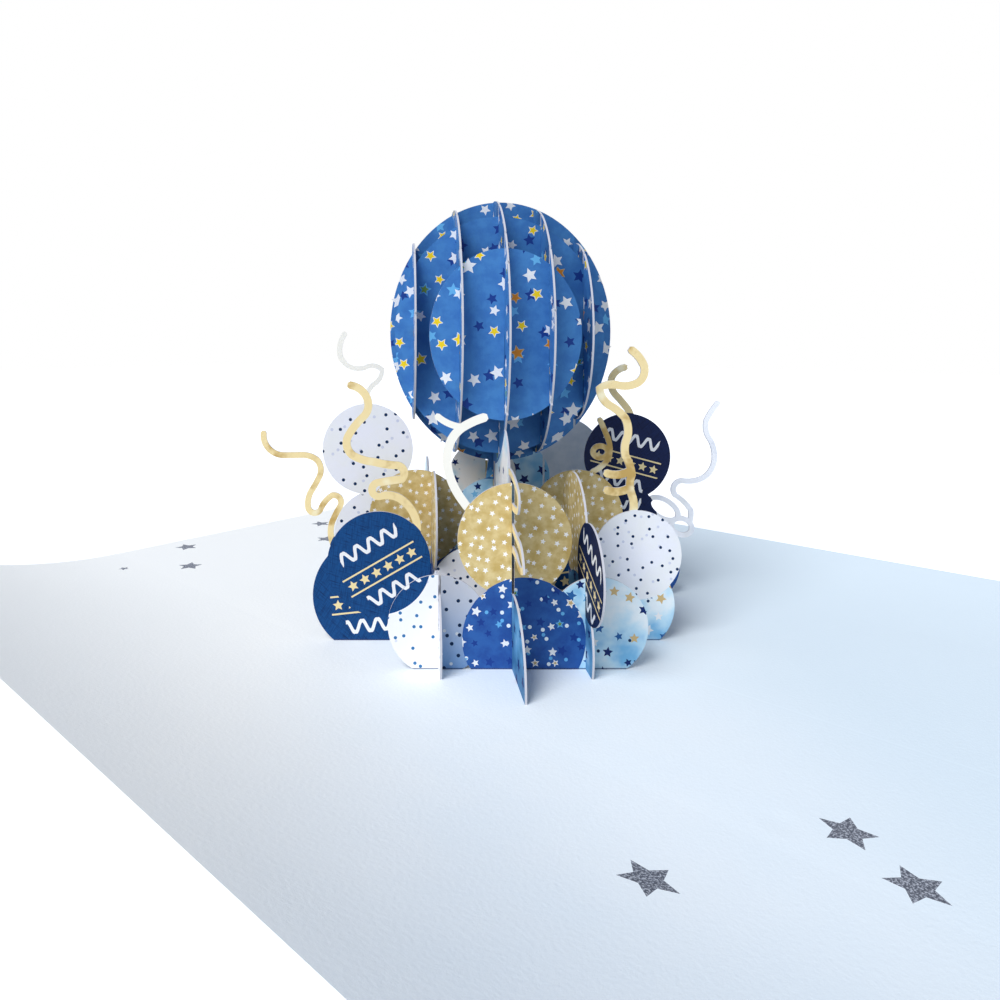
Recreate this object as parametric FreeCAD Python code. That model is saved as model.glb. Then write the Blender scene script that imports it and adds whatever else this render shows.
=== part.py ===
import FreeCAD, Part
import math
import os

from FreeCAD import Placement, Rotation, Vector

# A folded greeting card lies open and flat, and a slotted card lattice stands on it.
# X runs across the card, Y along its fold and Z up. The origin is in the middle of the underside.
# Rows and cross slices stand at 45 degrees to the fold. Every slice is drawn flat, as
# u to the right and z up from the inner sheet, and is stood up afterwards.
# All lengths are in millimetres.

# Card
page_width = 99.0
card_length = 210.0
cover_thickness = 0.35
inner_thickness = 0.25
curl_radius_left = 146.0
curl_length_left = 62.0
curl_radius_right = 405.0
curl_length_right = 45.0
score_width = 0.9
score_depth = 0.08

# Slotted lattice, with one unit of the drawn outlines in millimetres
outline_unit = 1.0
slice_thickness = 0.4
slot_clearance = 0.05
row_pitch = 13.5
lattice_turn = -45.0

# Large balloon
ball_height = 62.3
ball_half_width = 24.1
ball_half_height = 28.2
disc_pitch = 8.8
middle_disc_aside = 1.4
inner_row_share = 0.90
outer_row_share = 0.62
row_disc_squash = 0.965
row_disc_drop = 0.8
inner_cross_share = 0.93
outer_cross_share = 0.68
knot_width = 2.2
knot_flare = 3.6
knot_length = 4.0
neck_foot = 20.0
rim_star_size = 1.6
rim_star_inset = 1.1
star_waist = 0.48

# Glue tongues
tongue_width = 8.0
flap_length = 5.5
pocket_wall = 0.6

# Streamers
broad_streamer = 1.6
fine_streamer = 1.2
tip_length = 0.35  # share of the streamer's width
tip_inset = 0.22
flat_bow = 0.004
arcs_per_point = 0.6

sheet_top = cover_thickness + inner_thickness
overshoot = 1.0


# Flat outlines, drawn with u along X and z along Y

def flat_face(edges):
    return Part.Face(Part.Wire(edges))


def balloon(u, z, radius):
    centre = Vector(u, z, 0) * outline_unit
    ring = Part.Circle(centre, Vector(0, 0, 1), radius * outline_unit)
    return flat_face([ring.toShape()])


def oval(u, z, half_width, half_height, turn=0):
    ring = Part.Ellipse(Vector(0, 0, 0), max(half_width, half_height), min(half_width, half_height))
    face = flat_face([ring.toShape()])
    upright = 90 if half_height > half_width else 0
    face.Placement = Placement(Vector(u, z, 0), Rotation(Vector(0, 0, 1), turn + upright))
    return face


def curl(u, z, half_width, half_height, turn, width):
    size = outline_unit
    outer = oval(u * size, z * size, half_width * size, half_height * size, turn)
    hole = oval(u * size, z * size, half_width * size - width, half_height * size - width, turn)
    return outer, hole


def polygon(points):
    corners = [Vector(u, z, 0) for u, z in points]
    return Part.Face(Part.makePolygon(corners + corners[:1]))


def star(u, z, size):
    points = []
    for tip in range(10):
        reach = size if tip % 2 == 0 else size * star_waist
        turn = math.radians(90 + 36 * tip)
        points.append((u + reach * math.cos(turn), z + reach * math.sin(turn)))
    return polygon(points)


def arc_chain(points):
    arcs = []
    for place in range(0, len(points) - 2, 2):
        start, middle, end = points[place:place + 3]
        bow = (middle - (start + end) / 2).Length
        if bow < flat_bow:
            arcs.append(Part.makeLine(start, end))
        else:
            arcs.append(Part.Arc(start, middle, end).toShape())
    return arcs


def blunt_tip(start, end):
    across = end - start
    ahead = Vector(-across.y, across.x, 0) * tip_length
    inset = across * tip_inset
    corners = [start, start + inset + ahead, end - inset + ahead, end]
    return [Part.makeLine(corners[side], corners[side + 1]) for side in range(3)]


def streamer(points, width):
    spine = Part.BSplineCurve()
    spine.interpolate([Vector(u, z, 0) * outline_unit for u, z in points])
    steps = 2 * round(arcs_per_point * len(points))
    first_side = []
    second_side = []
    for step in range(steps + 1):
        at = spine.FirstParameter + (spine.LastParameter - spine.FirstParameter) * step / steps
        along = spine.tangent(at)[0]
        aside = Vector(-along.y, along.x, 0) * (width / 2)
        first_side.append(spine.value(at) + aside)
        second_side.append(spine.value(at) - aside)
    second_side.reverse()
    edges = arc_chain(first_side)
    edges += blunt_tip(first_side[-1], second_side[0])
    edges += arc_chain(second_side)
    edges += blunt_tip(second_side[-1], first_side[0])
    return flat_face(edges)


def ball_outline(share, star_angles, aside=0, drop=0, squash=1):
    half_width = ball_half_width * share
    half_height = ball_half_height * share * squash
    middle = ball_height - drop
    faces = [oval(aside, middle, half_width, half_height)]
    for angle in star_angles:
        turn = math.radians(angle)
        rim_u = aside + (half_width - rim_star_inset) * math.cos(turn)
        rim_z = middle + (half_height - rim_star_inset) * math.sin(turn)
        faces.append(star(rim_u, rim_z, rim_star_size))
    return faces


def neck_outline():
    mouth = ball_height - ball_half_height
    knot = polygon([
        (-knot_width / 2, mouth + overshoot),
        (knot_width / 2, mouth + overshoot),
        (knot_flare / 2, mouth - knot_length),
        (-knot_flare / 2, mouth - knot_length),
    ])
    foot = neck_foot * outline_unit
    neck = polygon([
        (-knot_width / 2, foot),
        (knot_width / 2, foot),
        (knot_width / 2, mouth),
        (-knot_width / 2, mouth),
    ])
    return [knot, neck]


# Slices

def cut_from_card(faces, holes=()):
    depth = Vector(0, 0, slice_thickness)
    prisms = [face.extrude(depth) for face in faces]
    blank = prisms[0].multiFuse(prisms[1:])
    reach = blank.BoundBox
    width = reach.XLength + 2 * overshoot
    height = reach.YMax + overshoot
    corner = Vector(reach.XMin - overshoot, 0, -overshoot)
    above_sheet = Part.makeBox(width, height, slice_thickness + 2 * overshoot, corner)
    blank = blank.common(above_sheet).removeSplitter()
    for hole in holes:
        blank = blank.cut(hole.extrude(depth))
    blank.translate(-depth / 2)
    return blank.Solids[0] if len(blank.Solids) == 1 else blank


def add_tongue(blank, u, side):
    stub_height = inner_thickness + overshoot
    stub = Part.makeBox(tongue_width, stub_height, slice_thickness)
    stub.translate(Vector(u - tongue_width / 2, -inner_thickness, -slice_thickness / 2))
    flap = Part.makeBox(tongue_width, slice_thickness, flap_length)
    flap.translate(Vector(u - tongue_width / 2, -inner_thickness, -slice_thickness / 2))
    if side < 0:
        flap.translate(Vector(0, 0, slice_thickness - flap_length))
    return blank.fuse([stub, flap]).removeSplitter()


def stand_row(blank, away):
    blank = blank.copy()
    blank.rotate(Vector(0, 0, 0), Vector(1, 0, 0), 90)
    blank.translate(Vector(0, away, 0))
    return blank


def stand_cross(blank, right):
    blank = blank.copy()
    blank.rotate(Vector(0, 0, 0), Vector(1, 0, 0), 90)
    blank.rotate(Vector(0, 0, 0), Vector(0, 0, 1), 90)
    blank.translate(Vector(right, 0, 0))
    return blank


def base_row(first, last, height, radius):
    count = max(2, round((last - first) / radius) + 1)
    step = (last - first) / (count - 1)
    return [balloon(first + step * place, height, radius) for place in range(count)]


# Each row and cross slice, as its balloons and then its streamers

def front_row():
    faces = [
        balloon(-13.8, 8.1, 9.2),
        balloon(2.0, 5.5, 11.2),
        balloon(15.6, 7.7, 9.2),
        balloon(0.3, 23.7, 10.5),
    ]
    faces.append(streamer([
        (-7.2, 28.4), (-8.9, 30.4), (-10.9, 33.6), (-12.0, 37.0), (-11.9, 40.4),
        (-10.4, 43.4), (-7.8, 45.2), (-5.2, 46.2),
    ], broad_streamer))
    faces.append(streamer([(-9.2, 44.4), (-11.4, 44.9), (-13.9, 46.4)], fine_streamer))
    return cut_from_card(faces)


def second_row():
    faces = [
        balloon(-24.9, 15.5, 10.4),
        balloon(-26.5, 9.1, 11.7),
        balloon(-5.6, 10.0, 8.9),
        balloon(11.0, 13.0, 9.0),
        balloon(27.1, 17.2, 8.9),
        balloon(25.1, 7.0, 9.5),
    ]
    faces += base_row(-20.0, 22.0, 4.5, 7.5)
    faces.append(streamer([
        (-30.7, 51.3), (-27.7, 49.4), (-27.0, 47.1), (-28.4, 44.6), (-30.7, 41.8),
        (-31.4, 39.3), (-30.2, 37.2), (-26.5, 36.0), (-22.9, 35.3), (-20.1, 34.4),
        (-19.7, 33.0), (-22.4, 32.1), (-25.1, 31.6), (-26.3, 30.4), (-25.0, 29.2),
        (-22.4, 29.1), (-20.1, 28.1), (-18.3, 26.1), (-17.3, 23.4), (-17.6, 20.4),
    ], broad_streamer))
    faces.append(streamer([
        (-48.1, 41.7), (-47.5, 39.1), (-46.0, 37.7), (-43.2, 37.2), (-39.6, 37.2),
        (-37.4, 36.3), (-36.6, 34.4), (-37.2, 32.2), (-38.4, 30.2), (-39.2, 28.0),
        (-38.9, 26.2), (-37.9, 25.6), (-36.7, 26.4), (-35.3, 28.4), (-33.9, 29.2),
        (-32.7, 28.4), (-32.9, 26.6), (-34.0, 24.6), (-34.6, 22.4), (-34.2, 19.6),
        (-32.6, 17.6),
    ], fine_streamer))
    faces.append(streamer([
        (25.9, 58.4), (27.8, 56.5), (28.6, 54.2), (27.6, 52.1), (25.4, 51.2),
        (22.0, 51.4), (19.6, 50.8), (20.2, 48.6), (22.2, 46.8), (24.3, 45.2),
        (25.2, 43.0), (25.0, 40.4), (24.5, 38.0), (25.4, 35.6), (26.0, 33.4),
        (25.6, 31.4), (26.0, 29.2), (26.2, 25.4),
    ], broad_streamer))
    for height in (33.6, 30.2):
        faces.append(streamer([
            (20.9, height), (23.4, height - 0.3), (25.8, height + 0.6),
        ], broad_streamer))
    return cut_from_card(faces)


def middle_row():
    faces = [
        balloon(-16.9, 21.6, 10.4),
        balloon(18.2, 22.0, 10.0),
        balloon(0.4, 20.2, 10.2),
    ]
    faces += neck_outline()
    faces += base_row(-22.0, 22.0, 7.0, 8.8)
    faces += ball_outline(1.0, [166, 196, 238, 302, 352], middle_disc_aside)
    faces.append(streamer([
        (23.2, 43.0), (24.6, 39.8), (25.4, 36.6), (24.6, 33.6), (22.4, 32.1),
        (21.0, 30.4), (22.0, 28.6), (23.4, 27.0), (23.6, 24.0),
    ], fine_streamer))
    loop, hole = curl(23.3, 35.9, 2.2, 1.9, 0, fine_streamer)
    return cut_from_card(faces + [loop], [hole])


def fourth_row():
    faces = [
        balloon(-28.1, 34.6, 10.7),
        balloon(-25.7, 14.7, 10.2),
        balloon(-1.0, 28.6, 7.8),
        balloon(6.6, 28.2, 8.3),
        balloon(-4.0, 18.0, 9.0),
        balloon(12.0, 17.0, 9.5),
        balloon(33.3, 32.8, 10.2),
        balloon(30.0, 17.6, 10.3),
        balloon(-14.0, 17.0, 9.0),
    ]
    faces += base_row(-26.0, 37.0, 7.0, 8.8)
    faces.append(streamer([
        (-33.6, 61.9), (-34.7, 59.2), (-34.5, 56.2), (-32.3, 54.0), (-29.0, 53.8),
        (-26.0, 54.2), (-24.6, 53.0), (-25.6, 51.0), (-27.8, 48.6), (-28.6, 45.6),
        (-28.2, 42.0),
    ], fine_streamer))
    faces.append(streamer([
        (32.8, 53.9), (30.6, 52.8), (29.5, 50.9), (29.9, 48.5), (31.6, 46.3),
        (33.6, 43.8), (33.8, 40.0),
    ], broad_streamer))
    faces.append(streamer([
        (54.8, 45.5), (52.8, 42.8), (51.8, 40.0), (53.0, 36.8), (54.0, 33.5),
        (53.5, 30.3), (51.4, 27.8), (48.2, 27.0), (45.0, 26.6), (44.2, 24.8),
        (46.0, 22.6), (48.2, 20.6), (48.3, 18.0), (46.9, 15.6),
    ], fine_streamer))
    upper_loop, upper_hole = curl(41.9, 20.4, 4.5, 2.7, -32, fine_streamer)
    lower_loop, lower_hole = curl(46.2, 16.2, 3.1, 2.5, -20, fine_streamer)
    faces += [upper_loop, lower_loop]
    return cut_from_card(faces, [upper_hole, lower_hole])


def back_row():
    faces = [
        balloon(-15.6, 7.7, 9.2),
        balloon(-2.0, 5.5, 11.2),
        balloon(13.8, 8.1, 9.2),
        balloon(20.4, 29.9, 11.0),
        balloon(16.5, 17.5, 9.0),
        balloon(-0.3, 20.5, 9.5),
    ]
    return cut_from_card(faces)


def left_cross():
    faces = [
        balloon(-20.5, 4.0, 11.6),
        balloon(-8.0, 23.0, 10.0),
        balloon(22.0, 8.0, 10.2),
        balloon(25.0, 21.0, 10.0),
    ]
    faces += base_row(-18.0, 18.0, 6.0, 8.4)
    return cut_from_card(faces)


def centre_cross():
    faces = [
        balloon(-28.3, 1.2, 12.6),
        balloon(27.0, 7.0, 12.8),
        balloon(-13.2, 34.0, 9.6),
        balloon(-9.6, 19.0, 9.2),
        balloon(11.0, 20.0, 9.5),
    ]
    faces += neck_outline()
    faces += base_row(-18.0, 18.0, 8.0, 8.8)
    faces += ball_outline(1.0, [28, 152, 214])
    faces.append(streamer([
        (-21.6, 35.4), (-24.6, 35.6), (-28.5, 35.0), (-32.2, 33.8), (-33.8, 31.9),
        (-32.2, 30.3), (-28.8, 29.8), (-24.6, 29.9), (-20.8, 29.4),
    ], fine_streamer))
    faces.append(streamer([
        (-19.0, 27.4), (-24.0, 26.6), (-31.0, 25.2), (-37.2, 23.6), (-39.2, 22.0),
        (-37.4, 20.9), (-31.0, 21.8), (-25.0, 21.6), (-20.0, 19.4), (-18.0, 17.6),
    ], fine_streamer))
    return cut_from_card(faces)


def right_cross():
    faces = [
        balloon(-20.5, 4.0, 11.6),
        balloon(-30.2, 18.3, 9.0),
        balloon(-17.5, 24.5, 10.0),
        balloon(22.0, 8.0, 10.2),
        balloon(26.0, 20.0, 10.0),
    ]
    faces += base_row(-18.0, 18.0, 6.0, 8.4)
    return cut_from_card(faces)


def row_disc(share, star_angles):
    return cut_from_card(ball_outline(share, star_angles, 0, row_disc_drop, row_disc_squash))


def cross_disc(share, star_angles):
    return cut_from_card(ball_outline(share, star_angles))


# Slots

def column(piece, slot):
    parts = piece.common(slot).Solids
    return sorted((part.BoundBox.ZMin, part.BoundBox.ZMax) for part in parts)


def cut_slot(piece, centre, along_x, meeting, goes_up):
    gap = slice_thickness + 2 * slot_clearance
    deep = slice_thickness + 2 * overshoot
    size_x = gap if along_x else deep
    size_y = deep if along_x else gap
    reach = piece.BoundBox
    corner = Vector(centre[0] - size_x / 2, centre[1] - size_y / 2, reach.ZMin - overshoot)
    probe = Part.makeBox(size_x, size_y, reach.ZLength + 2 * overshoot, corner)
    for low, high in column(piece, probe):
        if low <= meeting <= high:
            start = meeting if goes_up else low - overshoot / 4
            end = high + overshoot / 4 if goes_up else meeting
            slot = Part.makeBox(size_x, size_y, end - start, Vector(corner.x, corner.y, start))
            piece = piece.cut(slot)
    return piece


def interlock(row, cross, away, right, row_slots_down):
    crossing = row.common(cross)
    for part in crossing.Solids:
        meeting = (part.BoundBox.ZMin + part.BoundBox.ZMax) / 2
        row = cut_slot(row, (right, away), True, meeting, not row_slots_down)
        cross = cut_slot(cross, (right, away), False, meeting, row_slots_down)
    return row, cross


# Card sheets

def sheet_layer(low, high):
    left_flat = -(page_width - curl_length_left)
    right_flat = page_width - curl_length_right
    left_turn = curl_length_left / curl_radius_left
    right_turn = curl_length_right / curl_radius_right

    def left_point(turn, height):
        radius = curl_radius_left - height
        return Vector(left_flat - radius * math.sin(turn), 0, curl_radius_left - radius * math.cos(turn))

    def right_point(turn, height):
        radius = curl_radius_right - height
        return Vector(right_flat + radius * math.sin(turn), 0, curl_radius_right - radius * math.cos(turn))

    def left_curl(height):
        return Part.Arc(
            left_point(0, height), left_point(left_turn / 2, height), left_point(left_turn, height)
        ).toShape()

    def right_curl(height):
        return Part.Arc(
            right_point(0, height), right_point(right_turn / 2, height), right_point(right_turn, height)
        ).toShape()

    edges = [
        Part.makeLine(left_point(0, low), right_point(0, low)),
        right_curl(low),
        Part.makeLine(right_point(right_turn, low), right_point(right_turn, high)),
        right_curl(high),
        Part.makeLine(right_point(0, high), left_point(0, high)),
        left_curl(high),
        Part.makeLine(left_point(left_turn, high), left_point(left_turn, low)),
        left_curl(low),
    ]
    profile = Part.Face(Part.Wire(Part.__sortEdges__(edges)))
    sheet = profile.extrude(Vector(0, card_length, 0))
    sheet.translate(Vector(0, -card_length / 2, 0))
    return sheet


def fold_score():
    radius = (score_width ** 2 / 4 + score_depth ** 2) / (2 * score_depth)
    centre = Vector(0, -card_length, sheet_top - score_depth + radius)
    return Part.makeCylinder(radius, 2 * card_length, centre, Vector(0, 1, 0))


def lie_on_card(piece):
    piece = piece.copy()
    piece.rotate(Vector(0, 0, 0), Vector(0, 0, 1), lattice_turn)
    piece.translate(Vector(0, 0, sheet_top))
    return piece


def pocket(stand, place, u, side, growth, low, high):
    reach = flap_length + 2 * growth
    width = tongue_width + 2 * growth
    block = Part.makeBox(width, high - low, reach)
    block.translate(Vector(u - width / 2, low, -slice_thickness / 2 - growth))
    if side < 0:
        block.translate(Vector(0, 0, slice_thickness - flap_length))
    return lie_on_card(stand(block, place))


tongues = [
    ("front_row_slice", stand_row, -2 * row_pitch, row_pitch / 2, -1),
    ("back_row_slice", stand_row, 2 * row_pitch, -row_pitch / 2, 1),
    ("left_cross_slice", stand_cross, -row_pitch, -1.5 * row_pitch, 1),
    ("right_cross_slice", stand_cross, row_pitch, 1.5 * row_pitch, -1),
]


def inner_sheet():
    sheet = sheet_layer(cover_thickness, sheet_top).cut(fold_score())
    flap_top = slice_thickness - inner_thickness
    for node, stand, place, u, side in tongues:
        blister = pocket(stand, place, u, side, pocket_wall, -inner_thickness / 2, slice_thickness)
        hollow = pocket(stand, place, u, side, slot_clearance, -2 * inner_thickness, flap_top)
        slit_width = tongue_width + 2 * slot_clearance
        slit_height = slice_thickness + overshoot
        slit = Part.makeBox(slit_width, slit_height, slice_thickness + 2 * slot_clearance)
        slit.translate(Vector(
            u - slit_width / 2, -inner_thickness / 2, -slice_thickness / 2 - slot_clearance
        ))
        behind = Part.makeBox(3 * tongue_width, slit_height, overshoot + slice_thickness)
        start = -overshoot - slice_thickness / 2 if side > 0 else -slice_thickness / 2
        behind.translate(Vector(u - 1.5 * tongue_width, 0, start))
        sheet = sheet.fuse(blister)
        sheet = sheet.cut(lie_on_card(stand(behind, place)))
        sheet = sheet.cut(lie_on_card(stand(slit, place)))
        sheet = sheet.cut(hollow)
    return sheet.removeSplitter()


# Assembly

row_places = {
    "front_row_slice": -2 * row_pitch,
    "second_row_slice": -row_pitch,
    "middle_row_slice": 0.0,
    "fourth_row_slice": row_pitch,
    "back_row_slice": 2 * row_pitch,
    "row_disc_front_outer": -2 * disc_pitch,
    "row_disc_front_inner": -disc_pitch,
    "row_disc_back_inner": disc_pitch,
    "row_disc_back_outer": 2 * disc_pitch,
}
cross_places = {
    "left_cross_slice": -row_pitch,
    "centre_cross_slice": 0.0,
    "right_cross_slice": row_pitch,
    "cross_disc_left_outer": -2 * disc_pitch,
    "cross_disc_left_inner": -disc_pitch,
    "cross_disc_right_inner": disc_pitch,
    "cross_disc_right_outer": 2 * disc_pitch,
}
blanks = {
    "front_row_slice": front_row(),
    "second_row_slice": second_row(),
    "middle_row_slice": middle_row(),
    "fourth_row_slice": fourth_row(),
    "back_row_slice": back_row(),
    "row_disc_front_outer": row_disc(outer_row_share, [122]),
    "row_disc_front_inner": row_disc(inner_row_share, [228, 318]),
    "row_disc_back_inner": row_disc(inner_row_share, [35]),
    "row_disc_back_outer": row_disc(outer_row_share, [200]),
    "left_cross_slice": left_cross(),
    "centre_cross_slice": centre_cross(),
    "right_cross_slice": right_cross(),
    "cross_disc_left_outer": cross_disc(outer_cross_share, [170]),
    "cross_disc_left_inner": cross_disc(inner_cross_share, [40]),
    "cross_disc_right_inner": cross_disc(inner_cross_share, [172, 212]),
    "cross_disc_right_outer": cross_disc(outer_cross_share, [340]),
}
for node, stand, place, u, side in tongues:
    blanks[node] = add_tongue(blanks[node], u, side)

rows = {node: stand_row(blanks[node], away) for node, away in row_places.items()}
crosses = {node: stand_cross(blanks[node], right) for node, right in cross_places.items()}
slotted_from_below = [node for node in row_places if "disc" in node] + ["middle_row_slice"]
for row_node, away in row_places.items():
    for cross_node, right in cross_places.items():
        rows[row_node], crosses[cross_node] = interlock(
            rows[row_node], crosses[cross_node], away, right, row_node in slotted_from_below
        )

pieces = {"card_cover": sheet_layer(0, cover_thickness), "inner_sheet": inner_sheet()}
for node, piece in list(rows.items()) + list(crosses.items()):
    pieces[node] = lie_on_card(piece)

os.makedirs("parts", exist_ok=True)
for node, piece in pieces.items():
    print(node, "solids", len(piece.Solids), "valid", piece.isValid(), "volume", round(piece.Volume, 2))
    piece.exportStep("parts/" + node + ".step")
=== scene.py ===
import bpy
import math
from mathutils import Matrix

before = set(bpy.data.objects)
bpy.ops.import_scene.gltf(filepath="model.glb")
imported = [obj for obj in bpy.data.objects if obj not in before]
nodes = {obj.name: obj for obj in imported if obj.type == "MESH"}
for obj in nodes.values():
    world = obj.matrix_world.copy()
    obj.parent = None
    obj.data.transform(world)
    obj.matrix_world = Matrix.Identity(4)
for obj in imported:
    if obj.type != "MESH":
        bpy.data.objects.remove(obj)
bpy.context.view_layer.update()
print("frame loaded:", len(nodes), "nodes")

mm = 0.001
diagonal = math.cos(math.radians(45))
sheetTop = 0.6  # mm, where the slices stand


def srgb(red, green, blue):
    linear = []
    for value in (red / 255, green / 255, blue / 255):
        linear.append(value / 12.92 if value <= 0.04045 else ((value + 0.055) / 1.055) ** 2.4)
    return (linear[0], linear[1], linear[2], 1.0)


# Camera, lamps and table

view = {
    "right": -21.67, "away": -166.6, "height": 61.0,  # mm from the card's middle, along the rows
    "pixels": 760.0, "imageSize": 1000, "sensor": 36.0,
    "shift": (0.105, -0.16), "nearest": 0.001,
}
light = {
    "keyFrom": (-0.62, -0.70, 0.94), "keyPower": 2.85, "keySpread": 34.0,
    "keyColour": srgb(249, 251, 255),
    "skyPower": 0.40, "skyColour": srgb(213, 227, 250),
}
table = {"size": 3.0, "height": -0.00005, "colour": srgb(244, 246, 250), "lift": 0.45}


def rowsToWorld(right, away, height):
    return ((right + away) * diagonal * mm, (away - right) * diagonal * mm, height * mm)


def addCamera():
    data = bpy.data.cameras.new("photoCamera")
    data.sensor_width = view["sensor"]
    data.lens = view["pixels"] / view["imageSize"] * view["sensor"]
    data.shift_x, data.shift_y = view["shift"]
    data.clip_start = view["nearest"]
    camera = bpy.data.objects.new("photoCamera", data)
    camera.location = rowsToWorld(view["right"], view["away"], view["height"])
    camera.rotation_euler = (math.radians(90), 0, math.radians(-45))  # level, square to the rows
    bpy.context.scene.collection.objects.link(camera)
    bpy.context.scene.camera = camera


def addKeyLamp():
    right, away, height = light["keyFrom"]
    lamp = bpy.data.lights.new("windowLight", "SUN")
    lamp.energy = light["keyPower"]
    lamp.angle = math.radians(light["keySpread"])
    lamp.color = light["keyColour"][:3]
    piece = bpy.data.objects.new("windowLight", lamp)
    x, y, z = rowsToWorld(right, away, height)
    length = math.sqrt(x * x + y * y + z * z)
    tilt = math.acos(z / length)
    turn = math.atan2(y, x) + math.pi / 2
    piece.rotation_euler = (tilt, 0, turn)
    bpy.context.scene.collection.objects.link(piece)


def whiteToCamera(tree, lit, white):
    path = tree.nodes.new("ShaderNodeLightPath")
    seen = maths(tree, "MAXIMUM", path.outputs["Is Camera Ray"], path.outputs["Is Glossy Ray"])
    seen = maths(tree, "MAXIMUM", seen, path.outputs["Is Transmission Ray"])
    mix = tree.nodes.new("ShaderNodeMixShader")
    tree.links.new(seen, mix.inputs[0])
    tree.links.new(lit, mix.inputs[1])
    tree.links.new(white, mix.inputs[2])
    return mix.outputs[0]


def lightWorld():
    world = bpy.data.worlds.new("studio")
    bpy.context.scene.world = world
    world.use_nodes = True
    tree = world.node_tree
    tree.nodes.clear()
    sky = tree.nodes.new("ShaderNodeBackground")
    sky.inputs["Color"].default_value = light["skyColour"]
    sky.inputs["Strength"].default_value = light["skyPower"]
    backdrop = tree.nodes.new("ShaderNodeBackground")
    backdrop.inputs["Color"].default_value = (1, 1, 1, 1)
    output = tree.nodes.new("ShaderNodeOutputWorld")
    shader = whiteToCamera(tree, sky.outputs[0], backdrop.outputs[0])
    tree.links.new(shader, output.inputs["Surface"])


def addTable():
    bpy.ops.object.select_all(action="DESELECT")
    bpy.ops.mesh.primitive_plane_add(size=table["size"], location=(0, 0, table["height"]))
    top = bpy.context.object
    top.name = "tableTop"
    material = bpy.data.materials.new("tableTop")
    material.use_nodes = True
    tree = material.node_tree
    tree.nodes.clear()
    matt = tree.nodes.new("ShaderNodeBsdfDiffuse")
    matt.inputs["Color"].default_value = table["colour"]
    glow = tree.nodes.new("ShaderNodeEmission")
    glow.inputs["Color"].default_value = (1, 1, 1, 1)
    glow.inputs["Strength"].default_value = table["lift"]
    lifted = tree.nodes.new("ShaderNodeAddShader")
    tree.links.new(matt.outputs[0], lifted.inputs[0])
    tree.links.new(glow.outputs[0], lifted.inputs[1])
    output = tree.nodes.new("ShaderNodeOutputMaterial")
    tree.links.new(whiteToCamera(tree, matt.outputs[0], lifted.outputs[0]), output.inputs["Surface"])
    top.data.materials.append(material)


# Small helpers that draw with shader nodes. All print coordinates are in millimetres.

def feed(tree, socket, value):
    if isinstance(value, bpy.types.NodeSocket):
        tree.links.new(value, socket)
    elif value is not None:
        socket.default_value = value


def maths(tree, operation, first, second=None, third=None):
    node = tree.nodes.new("ShaderNodeMath")
    node.operation = operation
    for socket, value in zip(node.inputs, (first, second, third)):
        feed(tree, socket, value)
    return node.outputs[0]


def vectorMaths(tree, operation, first, second=None):
    node = tree.nodes.new("ShaderNodeVectorMath")
    node.operation = operation
    feed(tree, node.inputs[0], first)
    feed(tree, node.inputs[1], second)
    return node.outputs["Value" if operation in ("LENGTH", "DOT_PRODUCT", "DISTANCE") else "Vector"]


def scaled(tree, vector, factor):
    node = tree.nodes.new("ShaderNodeVectorMath")
    node.operation = "SCALE"
    feed(tree, node.inputs[0], vector)
    node.inputs["Scale"].default_value = factor
    return node.outputs["Vector"]


def blend(tree, mask, under, over):
    return maths(tree, "MULTIPLY_ADD", mask, maths(tree, "SUBTRACT", over, under), under)


def paint(tree, mask, under, over):
    node = tree.nodes.new("ShaderNodeMix")
    node.data_type = "RGBA"
    feed(tree, node.inputs["Factor"], mask)
    feed(tree, node.inputs[6], under)
    feed(tree, node.inputs[7], over)
    return node.outputs[2]


def split(tree, vector):
    node = tree.nodes.new("ShaderNodeSeparateXYZ")
    tree.links.new(vector, node.inputs[0])
    return node.outputs


def join(tree, x, y, z=0.0):
    node = tree.nodes.new("ShaderNodeCombineXYZ")
    for socket, value in zip(node.inputs, (x, y, z)):
        feed(tree, socket, value)
    return node.outputs[0]


def below(tree, value, limit):
    return maths(tree, "LESS_THAN", value, limit)


def above(tree, value, limit):
    return maths(tree, "GREATER_THAN", value, limit)


def both(tree, first, second):
    return maths(tree, "MULTIPLY", first, second)


def gapTo(tree, value, level):
    return maths(tree, "ABSOLUTE", maths(tree, "SUBTRACT", value, level))


def noise(tree, vector, scale, detail=2.0, rough=0.5):
    node = tree.nodes.new("ShaderNodeTexNoise")
    tree.links.new(vector, node.inputs["Vector"])
    node.inputs["Scale"].default_value = scale
    node.inputs["Detail"].default_value = detail
    node.inputs["Roughness"].default_value = rough
    return node.outputs["Fac"]


def ramp(tree, value, low, high):
    node = tree.nodes.new("ShaderNodeMapRange")
    node.interpolation_type = "SMOOTHSTEP"
    tree.links.new(value, node.inputs["Value"])
    node.inputs["From Min"].default_value = low
    node.inputs["From Max"].default_value = high
    return node.outputs["Result"]


def placed(tree, plane, u, z, turn=0.0, scale=(1.0, 1.0)):
    node = tree.nodes.new("ShaderNodeMapping")
    node.vector_type = "TEXTURE"
    node.inputs["Location"].default_value = (u, z, 0)
    node.inputs["Rotation"].default_value = (0, 0, math.radians(turn))
    node.inputs["Scale"].default_value = (*scale, 1)
    tree.links.new(plane, node.inputs["Vector"])
    return node.outputs[0]


def inCircle(tree, plane, u, z, radius):
    return below(tree, vectorMaths(tree, "DISTANCE", plane, (u, z, 0)), radius)


starTip = math.radians(25)
starStep = math.radians(72)  # from one tip to the next
starSwing = 0.9  # radians, over which scattered stars turn
upright = math.radians(-90)


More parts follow.
